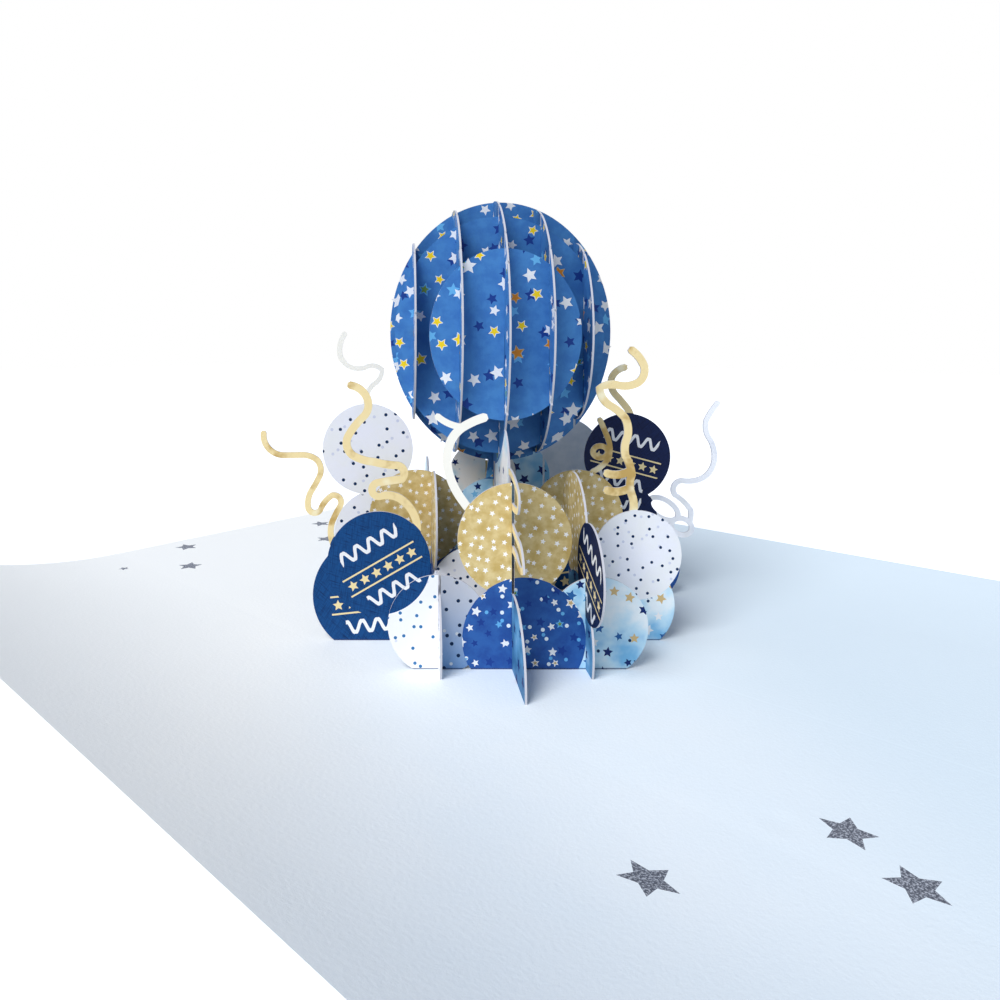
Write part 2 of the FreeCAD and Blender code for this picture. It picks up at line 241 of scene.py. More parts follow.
def starReach(tree, local, turn):
    # Distance at which a five-pointed star through this point would have its tips
    x, y, unused = split(tree, local)
    angle = maths(tree, "ADD", maths(tree, "ARCTAN2", y, x), turn)
    step = maths(tree, "FLOORED_MODULO", angle, starStep)
    fold = gapTo(tree, step, starStep / 2)
    swing = maths(tree, "SUBTRACT", starStep / 2 + starTip, fold)
    reach = maths(tree, "MULTIPLY", vectorMaths(tree, "LENGTH", local), maths(tree, "SINE", swing))
    return maths(tree, "DIVIDE", reach, math.sin(starTip))


def starsAt(tree, plane, stars):
    # Nearest of several stars, each as (u, z, size, turn); below 1 is inside the star
    nearest = None
    for u, z, size, turn in stars:
        reach = starReach(tree, placed(tree, plane, u, z), upright + math.radians(turn))
        share = maths(tree, "DIVIDE", reach, size)
        nearest = share if nearest is None else maths(tree, "MINIMUM", nearest, share)
    return nearest


seedTurn = 41  # degrees
seedRise = 1.7  # cells


def scattered(tree, plane, cell, jumble, seed):
    # One random point in each cell: the place around it and three random numbers
    plane = placed(tree, plane, 0, 0, seed * seedTurn)
    node = tree.nodes.new("ShaderNodeTexVoronoi")
    node.voronoi_dimensions = "2D"
    node.inputs["Scale"].default_value = 1.0
    node.inputs["Randomness"].default_value = jumble
    grid = vectorMaths(tree, "ADD", scaled(tree, plane, 1 / cell), (seed, seed * seedRise, 0))
    tree.links.new(grid, node.inputs["Vector"])
    local = scaled(tree, vectorMaths(tree, "SUBTRACT", grid, node.outputs["Position"]), cell)
    return local, split(tree, node.outputs["Color"])


def starField(tree, plane, colour, cell, jumble, seed, sizes, keep, kinds, heart=0.66):
    # Kinds are (share of the stars, ink, ink of the middle or None), from the first to the last
    local, chance = scattered(tree, plane, cell, jumble, seed)
    turn = maths(tree, "MULTIPLY_ADD", chance[1], starSwing, upright - starSwing / 2)
    reach = starReach(tree, local, turn)
    size = maths(tree, "MULTIPLY_ADD", chance[1], sizes[1] - sizes[0], sizes[0])
    share = maths(tree, "DIVIDE", reach, size)
    middle = below(tree, share, heart)
    ink = None
    start = 0.0
    for part, outer, inner in kinds:
        kind = paint(tree, middle, outer, inner) if inner else outer
        ink = kind if ink is None else paint(tree, above(tree, chance[0], start), ink, kind)
        start += part
    inside = both(tree, below(tree, share, 1.0), below(tree, chance[2], keep))
    return paint(tree, inside, colour, ink)


def dotField(tree, plane, colour, cell, seed, radius, keep, ink, jumble=0.7):
    local, chance = scattered(tree, plane, cell, jumble, seed)
    dot = below(tree, vectorMaths(tree, "LENGTH", local), radius)
    return paint(tree, both(tree, dot, below(tree, chance[2], keep)), colour, ink)


def clouded(tree, plane, scale, light, dark, low=0.35, high=0.65):
    cloud = noise(tree, plane, scale, detail=4.0, rough=0.6)
    return paint(tree, ramp(tree, cloud, low, high), light, dark)


# Prints on the die-cut card

inks = {
    "paper": srgb(242, 242, 241), "edge": srgb(202, 201, 206), "foot": srgb(58, 72, 108),
    "base": srgb(50, 98, 166), "baseDark": srgb(40, 80, 150),
    "royal": srgb(72, 132, 192), "royalDark": srgb(62, 118, 182),
    "deepStar": srgb(30, 64, 138), "skyStar": srgb(104, 178, 226),
    "sun": srgb(250, 214, 40), "orange": srgb(222, 138, 48), "leaf": srgb(118, 150, 70),
    "gold": srgb(227, 205, 148), "goldDark": srgb(202, 173, 104), "cream": srgb(255, 252, 246),
    "foil": srgb(246, 223, 166), "foilDarkReflection": srgb(198, 164, 96), "foilHighlight": srgb(255, 244, 206),
    "ivory": srgb(255, 250, 236), "silver": srgb(252, 252, 254), "silverDark": srgb(234, 236, 242),
    "lilacWhite": srgb(243, 243, 249), "navyDot": srgb(22, 48, 84), "tealDot": srgb(56, 116, 166),
    "lilacDot": srgb(214, 217, 232),
    "iceWhite": srgb(238, 246, 248), "ice": srgb(200, 232, 247), "lake": srgb(124, 188, 228),
    "deepLake": srgb(62, 116, 158), "pool": srgb(104, 164, 206),
    "navyStar": srgb(20, 44, 104), "blueStar": srgb(44, 98, 160),
    "navy": srgb(20, 74, 130), "navyDark": srgb(14, 58, 108), "navyDeep": srgb(8, 38, 80),
    "night": srgb(20, 34, 74), "nightDark": srgb(14, 25, 58), "nightDeep": srgb(10, 15, 42),
    "tan": srgb(214, 184, 130), "goldPale": srgb(244, 222, 166),
    "grey": srgb(238, 242, 244), "greyDark": srgb(218, 226, 232), "shadeBlue": srgb(128, 170, 216),
}


def royalStarPrint(tree, plane):
    dim = [
        (0.6, inks["deepStar"], None), (0.3, inks["skyStar"], None),
        (0.1, inks["skyStar"], inks["leaf"]),
    ]
    bright = [
        (0.60, inks["paper"], None), (0.34, inks["paper"], inks["sun"]),
        (0.06, inks["tan"], inks["orange"]),
    ]
    colour = clouded(tree, plane, 0.35, inks["royal"], inks["royalDark"])
    colour = starField(
        tree, plane, colour, cell=5.9, jumble=0.65, seed=3.7, sizes=(1.1, 1.55), keep=0.8, kinds=dim,
    )
    return starField(
        tree, plane, colour, cell=5.3, jumble=0.65, seed=11.3, sizes=(1.1, 1.65), keep=0.85,
        kinds=bright, heart=0.8,
    )


def smallStarPrint(tree, plane):
    kinds = [
        (0.40, inks["paper"], None), (0.16, inks["cream"], inks["tan"]), (0.22, inks["deepStar"], None),
        (0.14, inks["skyStar"], None), (0.08, inks["skyStar"], inks["leaf"]),
    ]
    colour = clouded(tree, plane, 0.3, inks["base"], inks["baseDark"])
    colour = dotField(tree, plane, colour, cell=3.4, seed=14.9, radius=0.34, keep=0.35, ink=inks["skyStar"])
    colour = dotField(tree, plane, colour, cell=3.6, seed=24.3, radius=0.36, keep=0.6, ink=inks["iceWhite"])
    return starField(
        tree, plane, colour, cell=3.0, jumble=0.7, seed=5.3, sizes=(0.68, 1.05), keep=0.85,
        kinds=kinds, heart=0.55,
    )


def goldStarPrint(tree, plane):
    colour = clouded(tree, plane, 0.45, inks["gold"], inks["goldDark"], low=0.3, high=0.7)
    kinds = [(1.0, inks["cream"], None)]
    return starField(
        tree, plane, colour, cell=2.1, jumble=0.55, seed=8.4, sizes=(0.47, 0.60), keep=1.1, kinds=kinds,
    )


def navyDotPrint(tree, plane):
    colour = clouded(tree, plane, 0.12, inks["paper"], inks["lilacWhite"])
    colour = dotField(tree, plane, colour, cell=2.7, seed=31.7, radius=0.28, keep=0.6, ink=inks["lilacDot"])
    return dotField(tree, plane, colour, cell=2.55, seed=2.6, radius=0.3, keep=0.85, ink=inks["navyDot"])


def tealDotPrint(tree, plane):
    colour = clouded(tree, plane, 0.12, inks["paper"], inks["lilacWhite"])
    colour = dotField(tree, plane, colour, cell=3.1, seed=31.7, radius=0.26, keep=0.5, ink=inks["lilacDot"])
    return dotField(tree, plane, colour, cell=2.6, seed=12.6, radius=0.31, keep=0.8, ink=inks["tealDot"])


# Right half of the balloon: lilac white grading to painted blade shadow in blue, darker towards the lower
# left
shadedHalf = {"lean": 0.35, "shadeFrom": (-9.0, 10.0), "border": 0.3}


def shadedHalfDotPrint(tree, plane):
    # Pale with teal dots left of the blade. Right of it, navy and white dots on lilac white that grades to
    # blue: the blue is partly a print tint and partly painted shadow of the blade, darker towards the lower
    # left
    x, y, unused = split(tree, plane)
    rise = maths(tree, "MULTIPLY_ADD", x, shadedHalf["lean"], y)
    shade = ramp(tree, rise, *shadedHalf["shadeFrom"])
    colour = paint(tree, shade, inks["shadeBlue"], inks["lilacWhite"])
    colour = dotField(tree, plane, colour, cell=2.9, seed=21.7, radius=0.3, keep=0.6, ink=inks["paper"])
    colour = dotField(tree, plane, colour, cell=2.7, seed=42.6, radius=0.34, keep=0.85, ink=inks["navyDot"])
    return paint(tree, below(tree, x, shadedHalf["border"]), colour, tealDotPrint(tree, plane))


def waterStarPrint(tree, plane):
    wash = noise(tree, plane, scale=0.085, detail=4.0, rough=0.55)
    colour = paint(tree, ramp(tree, wash, low=0.36, high=0.5), inks["iceWhite"], inks["ice"])
    colour = paint(tree, ramp(tree, wash, low=0.46, high=0.64), colour, inks["lake"])
    kinds = [
        (0.36, inks["navyStar"], None), (0.26, inks["blueStar"], None), (0.14, inks["paper"], None),
        (0.16, inks["tan"], None), (0.08, inks["lake"], None),
    ]
    colour = dotField(tree, plane, colour, cell=4.4, seed=6.6, radius=0.3, keep=0.5, ink=inks["navyDot"])
    return starField(
        tree, plane, colour, cell=3.3, jumble=0.5, seed=19.2, sizes=(0.8, 1.2), keep=0.85, kinds=kinds,
    )


def paleWaterPrint(tree, plane):
    wash = noise(tree, plane, scale=0.1, detail=3.0, rough=0.5)
    colour = paint(tree, ramp(tree, wash, low=0.42, high=0.62), inks["cream"], inks["ice"])
    colour = dotField(tree, plane, colour, cell=3.3, seed=9.1, radius=0.22, keep=0.6, ink=inks["greyDark"])
    kinds = [(1.0, inks["navyStar"], None)]
    return starField(
        tree, plane, colour, cell=6.1, jumble=0.6, seed=23.4, sizes=(0.8, 1.1), keep=0.35, kinds=kinds,
    )


def lakePrint(tree, plane, deep, shallow):
    wash = noise(tree, plane, scale=0.11, detail=3.0, rough=0.5)
    colour = paint(tree, ramp(tree, wash, low=0.38, high=0.6), deep, shallow)
    colour = paint(tree, ramp(tree, wash, low=0.56, high=0.72), colour, inks["ice"])
    kinds = [(1.0, inks["navyStar"], None)]
    return starField(
        tree, plane, colour, cell=4.4, jumble=0.5, seed=29.3, sizes=(1.0, 1.4), keep=0.8, kinds=kinds,
    )


def deepWaterPrint(tree, plane):
    return lakePrint(tree, plane, inks["deepLake"], inks["pool"])


def pondPrint(tree, plane):
    return lakePrint(tree, plane, inks["lake"], inks["ice"])


def greyPrint(tree, plane):
    return clouded(tree, plane, 0.15, inks["grey"], inks["greyDark"])


weave = {"turns": (52, -47), "moved": (9, 4), "stretch": (3.2, 0.22), "detail": 3.0, "rough": 0.6}


def navyWeave(tree, plane, light, dark, deep):
    up, down = weave["turns"]
    risingThreads = placed(tree, plane, 0, 0, up, weave["stretch"])
    fallingThreads = placed(tree, plane, *weave["moved"], down, weave["stretch"])
    rising = noise(tree, risingThreads, 1.0, weave["detail"], weave["rough"])
    falling = noise(tree, fallingThreads, 1.0, weave["detail"], weave["rough"])
    colour = paint(tree, ramp(tree, rising, low=0.42, high=0.68), light, dark)
    return paint(tree, ramp(tree, falling, low=0.5, high=0.74), colour, deep)


# Waves above and below a band of stars between two rails
band = {
    "height": (4.2, -6.0), "half": (6.6, 5.6), "swing": 1.05, "length": 3.1, "line": 0.36,
    "middle": -1.4, "middleHalf": 8.2, "rail": 1.75, "railLine": 0.17, "step": 2.7, "star": 1.12,
}


def bannerPrint(tree, plane, colour):
    u, z, unused = split(tree, plane)
    beside = maths(tree, "ABSOLUTE", u)
    pace = math.tau / band["length"]
    for height, half in zip(band["height"], band["half"]):
        angle = maths(tree, "MULTIPLY", u, pace)
        middle = maths(tree, "MULTIPLY_ADD", maths(tree, "SINE", angle), band["swing"], height)
        slope = maths(tree, "MULTIPLY", maths(tree, "COSINE", angle), band["swing"] * pace)
        stretch = maths(tree, "SQRT", maths(tree, "MULTIPLY_ADD", slope, slope, 1.0))
        away = maths(tree, "DIVIDE", gapTo(tree, z, middle), stretch)
        wave = both(tree, below(tree, away, band["line"]), below(tree, beside, half))
        colour = paint(tree, wave, colour, inks["paper"])
    rail = gapTo(tree, gapTo(tree, z, band["middle"]), band["rail"])
    across = maths(tree, "SUBTRACT", maths(tree, "FLOORED_MODULO", u, band["step"]), band["step"] / 2)
    local = join(tree, across, maths(tree, "SUBTRACT", z, band["middle"]))
    star = below(tree, starReach(tree, local, upright), band["star"])
    row = maths(tree, "MAXIMUM", star, below(tree, rail, band["railLine"]))
    row = both(tree, row, below(tree, beside, band["middleHalf"]))
    return paint(tree, row, colour, inks["goldPale"])


def navyBannerPrint(tree, plane):
    ground = navyWeave(tree, plane, inks["navy"], inks["navyDark"], inks["navyDeep"])
    return bannerPrint(tree, plane, ground)


def nightBannerPrint(tree, plane):
    ground = navyWeave(tree, plane, inks["night"], inks["nightDark"], inks["nightDeep"])
    return bannerPrint(tree, plane, ground)


def makePrint(name, draw):
    tree = bpy.data.node_groups.new(name, "ShaderNodeTree")
    tree.interface.new_socket("Plane", in_out="INPUT", socket_type="NodeSocketVector")
    tree.interface.new_socket("Ink", in_out="OUTPUT", socket_type="NodeSocketColor")
    entry = tree.nodes.new("NodeGroupInput")
    leave = tree.nodes.new("NodeGroupOutput")
    tree.links.new(draw(tree, entry.outputs[0]), leave.inputs[0])
    return tree


prints = {
    "royal": makePrint("royalStarPrint", royalStarPrint),
    "small": makePrint("smallStarPrint", smallStarPrint),
    "gold": makePrint("goldStarPrint", goldStarPrint),
    "navyDots": makePrint("navyDotPrint", navyDotPrint),
    "tealDots": makePrint("tealDotPrint", tealDotPrint),
    "water": makePrint("waterStarPrint", waterStarPrint),
    "paleWater": makePrint("paleWaterPrint", paleWaterPrint),
    "grey": makePrint("greyPrint", greyPrint),
    "deepWater": makePrint("deepWaterPrint", deepWaterPrint),
    "navy": makePrint("navyBannerPrint", navyBannerPrint),
    "shadedHalf": makePrint("shadedHalfDotPrint", shadedHalfDotPrint),
    "pond": makePrint("pondPrint", pondPrint),
    "night": makePrint("nightBannerPrint", nightBannerPrint),
}
unshifted = ("navy", "night", "shadedHalf")  # these keep their place on each balloon
print("prints mixed:", len(prints))


# Die-cut slices. Balloons are (u, z, radius, print, turn, scale), from the back to the front.
# Streamers are (finish, first u). A base is (print, first u, last u, height, radius).

ball = {
    "height": 62.3, "halfWidth": 24.1, "halfHeight": 28.2, "margin": 0.5,
    "rimInset": 1.1, "rimPaint": 1.7, "knotHalf": 2.2, "knotFrom": 30.0, "knotTo": 36.0,
}

slices = {
    "front_row_slice": {
        "kind": "row", "streamers": [("ivory", None)], "seed": 3,
        "balloons": [
            (0.3, 23.7, 10.5, "gold"), (-13.8, 8.1, 9.2, "shadedHalf"), (-24.6, 19.5, 9.35, "navy", 30, 0.912),
            (15.6, 7.7, 9.2, "water"), (2.0, 5.5, 11.2, "small"),
        ],
    },
    "second_row_slice": {
        "kind": "row", "streamers": [("foil", None)], "seed": 8,
        "base": ("small", -20, 22, 4.5, 7.5),
        "balloons": [
            (25.1, 7.0, 9.5, "water"), (11.0, 13.0, 9.0, "navy", 10), (-5.6, 10.0, 8.9, "navyDots"),
            (27.1, 17.2, 8.9, "navyDots"), (-26.5, 9.1, 11.7, "navy", 6), (-24.9, 15.5, 10.4, "navy", 30),
        ],
    },
    "middle_row_slice": {
        "kind": "row", "streamers": [("foil", None)], "seed": 1,
        "base": ("small", -22, 22, 7.0, 8.8),
        "rim": [166, 196, 238, 302, 352], "aside": 1.4,
        "balloons": [
            (0.4, 20.2, 10.2, "water"), (18.2, 22.0, 10.0, "gold"), (-16.9, 21.6, 10.4, "gold"),
        ],
    },
    "fourth_row_slice": {
        "kind": "row", "seed": 5, "base": ("small", -26, 37, 7.0, 8.8),
        "streamers": [("ivory", None), ("foil", 20.0), ("silver", 37.0)],
        "balloons": [
            (30.0, 17.6, 10.3, "night"), (-25.7, 14.7, 10.2, "navyDots", 0, 1.25), (-4.0, 18.0, 9.0, "gold"),
            (12.0, 17.0, 9.5, "water"), (-14.0, 17.0, 9.0, "royal"), (6.6, 28.2, 8.3, "pond"),
            (-1.0, 28.6, 7.8, "paleWater"), (-28.1, 34.6, 10.7, "navyDots", 0, 1.3),
            (33.3, 32.8, 10.2, "night", -15),
        ],
    },
    "back_row_slice": {
        "kind": "row", "streamers": [("ivory", None)], "seed": 6,
        "balloons": [
            (16.5, 17.5, 9.0, "royal"), (20.4, 29.9, 11.0, "grey"), (-0.3, 20.5, 9.5, "gold"),
            (13.8, 8.1, 9.2, "shadedHalf"), (-15.6, 7.7, 9.2, "water"), (-2.0, 5.5, 11.2, "small"),
        ],
    },
    "left_cross_slice": {
        "kind": "cross", "streamers": [("ivory", None)], "seed": 2,
        "base": ("small", -18, 18, 6.0, 8.4),
        "balloons": [
            (25.0, 21.0, 10.0, "water"), (22.0, 8.0, 10.2, "navy", 20), (-8.0, 23.0, 10.0, "gold"),
            (-20.5, 4.0, 11.6, "navyDots"),
        ],
    },
    "centre_cross_slice": {
        "kind": "cross", "streamers": [("foil", None)], "seed": 4,
        "base": ("gold", -18, 18, 8.0, 8.8),
        "rim": [28, 152, 214],
        "balloons": [
            (-9.6, 19.0, 9.2, "small"), (11.0, 20.0, 9.5, "gold"), (-13.2, 34.0, 9.6, "paleWater"),
            (27.0, 7.0, 12.8, "tealDots"), (-28.3, 1.2, 12.6, "deepWater"),
        ],
    },
    "right_cross_slice": {
        "kind": "cross", "streamers": [("ivory", None)], "seed": 7,
        "base": ("small", -18, 18, 6.0, 8.4),
        "balloons": [
            (26.0, 20.0, 10.0, "gold"), (22.0, 8.0, 10.2, "navyDots"), (-17.5, 24.5, 10.0, "gold"),
            (-20.5, 4.0, 11.6, "deepWater"), (-30.2, 18.3, 9.0, "night", 20),
        ],
    },
    "row_disc_front_outer": {"kind": "row", "share": 0.62, "rim": [122], "seed": 11},
    "row_disc_front_inner": {"kind": "row", "share": 0.90, "rim": [228, 318], "seed": 12},
    "row_disc_back_inner": {"kind": "row", "share": 0.90, "rim": [35], "seed": 13},
    "row_disc_back_outer": {"kind": "row", "share": 0.62, "rim": [200], "seed": 14},
    "cross_disc_left_outer": {"kind": "cross", "share": 0.68, "rim": [170], "seed": 15},
    "cross_disc_left_inner": {"kind": "cross", "share": 0.93, "rim": [40], "seed": 16},
    "cross_disc_right_inner": {"kind": "cross", "share": 0.93, "rim": [172, 212], "seed": 17},
    "cross_disc_right_outer": {"kind": "cross", "share": 0.68, "rim": [340], "seed": 18},
}
rowDisc = {"drop": 0.8, "squash": 0.965}
slots = {
    "rowPitch": 13.5, "discPitch": 8.8, "none": 500.0,  # so far off that nothing leans
    "lean": {"row": 0.85, "cross": 0.15, "ball": 0.42}, "reach": {"heap": 16.0, "ball": 4.8},
    "sideSwing": 0.57, "sideMiddle": 0.43,  # share of the lean right and left of the slot
    "curve": 0.036,  # turn of the ball's right half, for each mm
}
card = {
    "printMargin": 0.15, "roughness": 0.55, "specular": 0.14, "grain": 0.25, "grainHeight": 0.0001,
    "edgeFacing": 0.5, "footHeight": 0.25, "footStrength": 0.75,
}
printStep = (7.3, 4.1)  # mm, by which a print moves for each step of the seed
foilStep = (5.1, 3.3)


def slicePlane(tree, kind):
    coordinates = tree.nodes.new("ShaderNodeTexCoord")
    turned = tree.nodes.new("ShaderNodeMapping")
    turned.inputs["Rotation"].default_value = (0, 0, math.radians(45))
    tree.links.new(coordinates.outputs["Object"], turned.inputs["Vector"])
    right, away, height = split(tree, scaled(tree, turned.outputs[0], 1 / mm))
    height = maths(tree, "SUBTRACT", height, sheetTop)
    return join(tree, right if kind == "row" else away, height)


def printInk(tree, plane, name, shift, u=0.0, z=0.0, turn=0.0, scale=1.0):
    node = tree.nodes.new("ShaderNodeGroup")
    node.node_tree = prints[name]
    local = placed(tree, plane, u, z, turn, (scale, scale))
    if name not in unshifted:
        move = (shift * printStep[0], shift * printStep[1], 0)
        local = vectorMaths(tree, "ADD", local, move)
    tree.links.new(local, node.inputs[0])
    return node.outputs[0]


def foilInk(tree, plane, name, seed):
    if name == "ivory":
        return inks["ivory"]
    # On the gold foil, the darker clouds are painted dark reflections and the pale gleams are painted
    # highlights; silver takes the same pattern in greys
    dark, light = ("foilDarkReflection", "foilHighlight") if name == "foil" else ("silverDark", "paper")
    moved = vectorMaths(tree, "ADD", plane, (seed * foilStep[0], seed * foilStep[1], 0))
    colour = clouded(tree, moved, 0.11, inks[name], inks[dark], low=0.5, high=0.66)
    gleam = ramp(tree, noise(tree, moved, scale=0.16), low=0.55, high=0.7)
    return paint(tree, gleam, colour, inks[light])


def baseMask(tree, u, z, first, last, height, radius):
    fromMiddle = gapTo(tree, u, (first + last) / 2)
    beside = maths(tree, "MAXIMUM", maths(tree, "SUBTRACT", fromMiddle, (last - first) / 2), 0.0)
    up = maths(tree, "MAXIMUM", maths(tree, "SUBTRACT", z, height), 0.0)
    return below(tree, vectorMaths(tree, "LENGTH", join(tree, beside, up)), radius + card["printMargin"])


def ballMask(tree, u, z, aside):
    wide = ball["halfWidth"] + ball["margin"]
    tall = ball["halfHeight"] + ball["margin"]
    across = maths(tree, "DIVIDE", maths(tree, "SUBTRACT", u, aside), wide)
    up = maths(tree, "DIVIDE", maths(tree, "SUBTRACT", z, ball["height"]), tall)
    inside = below(tree, vectorMaths(tree, "LENGTH", join(tree, across, up)), 1.0)
    besideKnot = below(tree, maths(tree, "ABSOLUTE", u), ball["knotHalf"])
    knot = both(tree, besideKnot, above(tree, z, ball["knotFrom"]))
    return maths(tree, "MAXIMUM", inside, both(tree, knot, below(tree, z, ball["knotTo"])))


def rimStars(piece):
    share = piece.get("share", 1.0)
    isRowDisc = piece["kind"] == "row" and "share" in piece
    middle = ball["height"] - (rowDisc["drop"] if isRowDisc else 0)
    wide = ball["halfWidth"] * share - ball["rimInset"]
    tall = ball["halfHeight"] * share * (rowDisc["squash"] if isRowDisc else 1) - ball["rimInset"]
    stars = []
    for angle in piece["rim"]:
        u = piece.get("aside", 0) + wide * math.cos(math.radians(angle))
        z = middle + tall * math.sin(math.radians(angle))
        stars.append((u, z, ball["rimPaint"], 0.0))
    return stars


def cutEdge(tree, kind):
    geometry = tree.nodes.new("ShaderNodeNewGeometry")
    facing = (diagonal, diagonal, 0) if kind == "row" else (diagonal, -diagonal, 0)
    towards = vectorMaths(tree, "DOT_PRODUCT", geometry.outputs["Normal"], facing)
    return below(tree, maths(tree, "ABSOLUTE", towards), card["edgeFacing"])


def nearestSlot(tree, u, pitch, last):
    nearest = maths(tree, "MULTIPLY", maths(tree, "ROUND", maths(tree, "DIVIDE", u, pitch)), pitch)
    return maths(tree, "MINIMUM", maths(tree, "MAXIMUM", nearest, -last), last)


def leanAt(tree, u, slot, lean, reach):
    # How far the card leans back beside its slot, less so further away
    gap = maths(tree, "SUBTRACT", u, slot)
    left = maths(tree, "MULTIPLY_ADD", maths(tree, "ABSOLUTE", gap), -1 / reach, 1.0)
    left = maths(tree, "MAXIMUM", left, 0.0)
    right = maths(tree, "SIGN", gap)
    side = maths(tree, "MULTIPLY_ADD", right, slots["sideSwing"], slots["sideMiddle"])
    return maths(tree, "MULTIPLY", both(tree, left, side), lean)


def leaned(tree, normal, slope, kind):
    # Tilts the shading normal along the card
    along = (diagonal, -diagonal, 0) if kind == "row" else (diagonal, diagonal, 0)
    node = tree.nodes.new("ShaderNodeVectorMath")
    node.operation = "SCALE"
    node.inputs[0].default_value = along
    tree.links.new(slope, node.inputs["Scale"])
    return vectorMaths(tree, "NORMALIZE", vectorMaths(tree, "ADD", normal, node.outputs["Vector"]))


def paperGrain(tree, plane, strength, height):
    fibres = noise(tree, plane, scale=2.6, detail=6.0, rough=0.65)
    bump = tree.nodes.new("ShaderNodeBump")
    bump.inputs["Strength"].default_value = strength
    bump.inputs["Distance"].default_value = height
    tree.links.new(fibres, bump.inputs["Height"])
    return bump.outputs[0]


def printedCard(name, piece):
    material = bpy.data.materials.new(name + "_print")
    material.use_nodes = True
    tree = material.node_tree
    shader = tree.nodes["Principled BSDF"]
    plane = slicePlane(tree, piece["kind"])
    u, z, unused = split(tree, plane)
    seed = piece["seed"]
    pitch = slots["rowPitch"]
    discLast = slots["discPitch"] * 2
    discSlot = nearestSlot(tree, u, slots["discPitch"], discLast)
    discLean = leanAt(tree, u, discSlot, slots["lean"]["ball"], slots["reach"]["ball"])
    discLean = maths(tree, "MULTIPLY_ADD", maths(tree, "MAXIMUM", u, 0.0), slots["curve"], discLean)
    slot = slots["none"]
    if "share" in piece:
        colour = printInk(tree, plane, "royal", seed)
    else:
        colour = None
        for finish, start in piece["streamers"]:
            ink = foilInk(tree, plane, finish, seed)
            colour = ink if start is None else paint(tree, above(tree, u, start), colour, ink)
    if "base" in piece:
        printName, *reach = piece["base"]
        mask = baseMask(tree, u, z, *reach)
        colour = paint(tree, mask, colour, printInk(tree, plane, printName, seed))
        slot = blend(tree, mask, slot, nearestSlot(tree, u, pitch, pitch))
    for place, (cu, cz, radius, printName, *turned) in enumerate(piece.get("balloons", [])):
        ink = printInk(tree, plane, printName, seed + place, cu, cz, *turned)
        mask = inCircle(tree, plane, cu, cz, radius + card["printMargin"])
        colour = paint(tree, mask, colour, ink)
        slot = blend(tree, mask, slot, pitch * max(-1, min(1, round(cu / pitch))))
    hasBall = "aside" in piece or name == "centre_cross_slice"
    if hasBall:
        ballArea = ballMask(tree, u, z, piece.get("aside", 0))
        colour = paint(tree, ballArea, colour, printInk(tree, plane, "royal", seed))
    if "share" in piece:
        slope = discLean
    else:
        slope = leanAt(tree, u, slot, slots["lean"][piece["kind"]], slots["reach"]["heap"])
        if hasBall:
            slope = blend(tree, ballArea, slope, discLean)
    if "rim" in piece:
        star = below(tree, starsAt(tree, plane, rimStars(piece)), 1.0)
        colour = paint(tree, star, colour, inks["paper"])
    # Painted contact shadow: a thin dark band along the foot of each row slice, where it stands on the sheet
    if piece["kind"] == "row" and "share" not in piece:
        foot = both(tree, below(tree, z, card["footHeight"]), card["footStrength"])
        colour = paint(tree, foot, colour, inks["foot"])
    edge = cutEdge(tree, piece["kind"])
    colour = paint(tree, edge, colour, inks["edge"])
    feed(tree, shader.inputs["Base Color"], colour)
    shader.inputs["Roughness"].default_value = card["roughness"]
    shader.inputs["Specular IOR Level"].default_value = card["specular"]
    slope = blend(tree, edge, slope, 0.0)
    grain = paperGrain(tree, plane, card["grain"], card["grainHeight"])
    normal = leaned(tree, grain, slope, piece["kind"])
    tree.links.new(normal, shader.inputs["Normal"])
    return material


def dressSlices():
    for name, piece in slices.items():
        nodes[name].data.materials.clear()
        nodes[name].data.materials.append(printedCard(name, piece))
    print("slices printed:", len(slices))


# Cover and inner sheet

sheet = {
    "ink": srgb(246, 251, 253), "shade": srgb(240, 248, 252), "back": srgb(240, 243, 247),
    # left is painted light on the left page; right is painted shade over the right side, also where the
    # pop-up's shadow falls
    "left": srgb(255, 254, 249), "paintedLightFrom": (-8.0, -52.0),
    "right": srgb(229, 241, 247), "paintedShadeFrom": (6.0, 62.0),
    "glitterDark": srgb(88, 93, 106), "glitterPale": srgb(178, 184, 196),
    "stars": [  # x, y, tip reach and turn
        (-27.8, -75.8, 3.4, 8), (-54.2, -63.0, 3.5, 30), (-32.9, -83.9, 3.4, 50),
        (-19.2, 97.4, 3.3, 12), (-28.2, 80.0, 3.3, 40), (-41.9, 89.9, 1.4, 0),
        (26.4, 91.5, 3.3, 20), (15.3, 75.5, 3.3, 55),
    ],
    "dent": (-31.6, -69.2), "dentReach": 3.5, "dentDepth": 1.2, "waveHeight": 4.0,
    "creaseHalf": 0.7, "creaseFade": 0.8, "starMetal": 0.55, "relief": 0.3, "reliefHeight": 0.0002,
    "roughness": 0.6, "specular": 0.15, "coverGrain": 0.3, "coverGrainHeight": 0.0001,
}


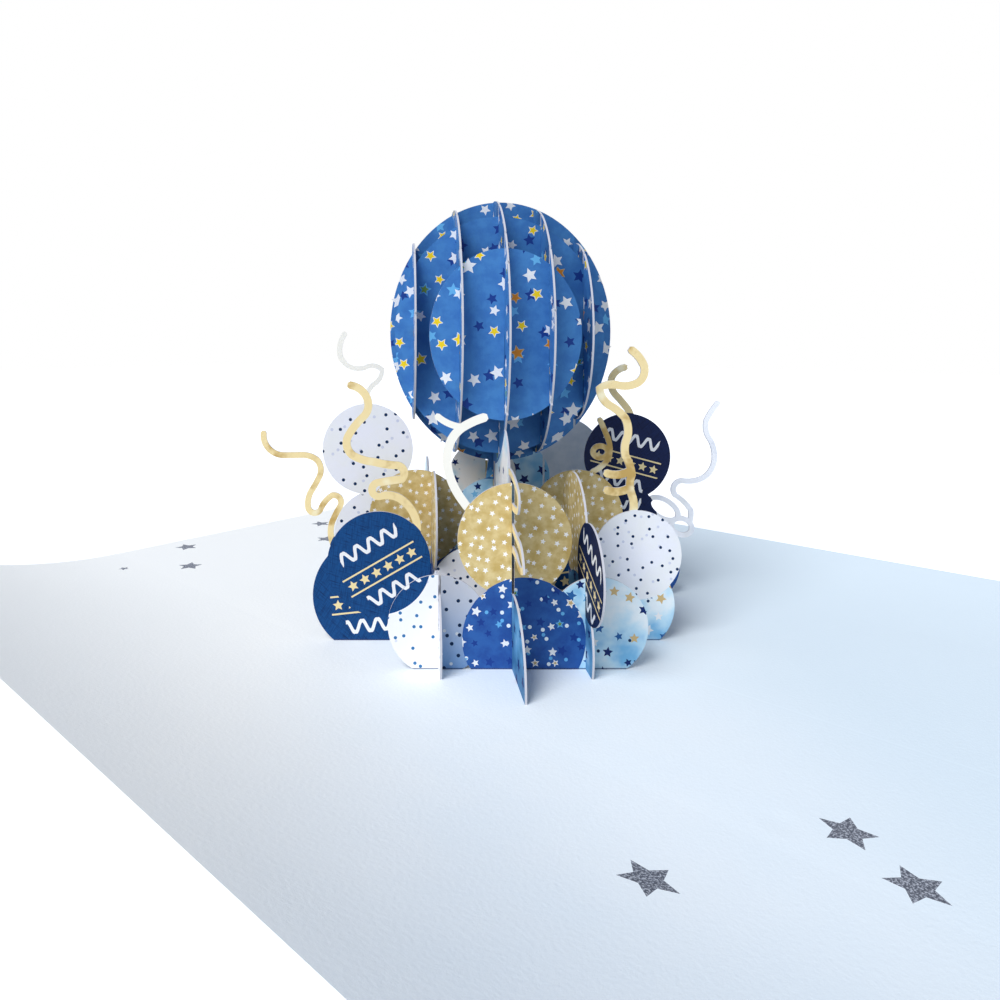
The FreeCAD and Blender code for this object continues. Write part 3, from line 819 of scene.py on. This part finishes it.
def sheetPaper():
    material = bpy.data.materials.new("innerPaper")
    material.use_nodes = True
    tree = material.node_tree
    shader = tree.nodes["Principled BSDF"]
    coordinates = tree.nodes.new("ShaderNodeTexCoord")
    plane = scaled(tree, coordinates.outputs["Object"], 1 / mm)
    x, y, height = split(tree, plane)
    flat = join(tree, x, y)
    cloud = ramp(tree, noise(tree, flat, scale=0.02, detail=3.0, rough=0.6), low=0.3, high=0.7)
    colour = paint(tree, cloud, sheet["ink"], sheet["shade"])
    across = maths(tree, "MULTIPLY", maths(tree, "SUBTRACT", x, y), diagonal)
    # Painted light towards the left page, then painted shade towards the right side
    colour = paint(tree, ramp(tree, across, *sheet["paintedLightFrom"]), colour, sheet["left"])
    colour = paint(tree, ramp(tree, across, *sheet["paintedShadeFrom"]), colour, sheet["right"])
    star = below(tree, starsAt(tree, flat, sheet["stars"]), 1.0)
    speck = ramp(tree, noise(tree, flat, scale=3.2, detail=2.0, rough=0.7), low=0.45, high=0.62)
    glitter = paint(tree, speck, sheet["glitterDark"], sheet["glitterPale"])
    colour = paint(tree, star, colour, glitter)
    feed(tree, shader.inputs["Base Color"], colour)
    feed(tree, shader.inputs["Metallic"], maths(tree, "MULTIPLY", star, sheet["starMetal"]))
    shader.inputs["Roughness"].default_value = sheet["roughness"]
    shader.inputs["Specular IOR Level"].default_value = sheet["specular"]
    waves = noise(tree, flat, scale=0.028, detail=2.0, rough=0.5)
    fibres = noise(tree, flat, scale=1.4, detail=5.0, rough=0.6)
    away = vectorMaths(tree, "DISTANCE", flat, (*sheet["dent"], 0))
    dent = ramp(tree, away, 0.0, sheet["dentReach"])
    relief = maths(tree, "MULTIPLY_ADD", waves, sheet["waveHeight"], fibres)
    relief = maths(tree, "MULTIPLY_ADD", dent, sheet["dentDepth"], relief)
    bump = tree.nodes.new("ShaderNodeBump")
    bump.inputs["Strength"].default_value = sheet["relief"]
    bump.inputs["Distance"].default_value = sheet["reliefHeight"]
    tree.links.new(relief, bump.inputs["Height"])
    onFold = below(tree, maths(tree, "ABSOLUTE", x), sheet["creaseHalf"])
    crease = both(tree, onFold, sheet["creaseFade"])
    normal = paint(tree, crease, bump.outputs[0], (0, 0, 1, 1))  # the fold's shading turned upwards
    tree.links.new(normal, shader.inputs["Normal"])
    return material


def coverCard():
    material = bpy.data.materials.new("coverCard")
    material.use_nodes = True
    tree = material.node_tree
    shader = tree.nodes["Principled BSDF"]
    coordinates = tree.nodes.new("ShaderNodeTexCoord")
    plane = scaled(tree, coordinates.outputs["Object"], 1 / mm)
    cloud = ramp(tree, noise(tree, plane, scale=0.05, detail=4.0, rough=0.6), low=0.3, high=0.7)
    feed(tree, shader.inputs["Base Color"], paint(tree, cloud, sheet["back"], sheet["ink"]))
    shader.inputs["Roughness"].default_value = sheet["roughness"]
    shader.inputs["Specular IOR Level"].default_value = sheet["specular"]
    grain = paperGrain(tree, plane, sheet["coverGrain"], sheet["coverGrainHeight"])
    tree.links.new(grain, shader.inputs["Normal"])
    return material


def dressSheets():
    for name, material in (("inner_sheet", sheetPaper()), ("card_cover", coverCard())):
        nodes[name].data.materials.clear()
        nodes[name].data.materials.append(material)
    print("sheets dressed")


bpy.context.scene.view_settings.view_transform = "Standard"
addCamera()
addKeyLamp()
lightWorld()
addTable()
dressSlices()
dressSheets()
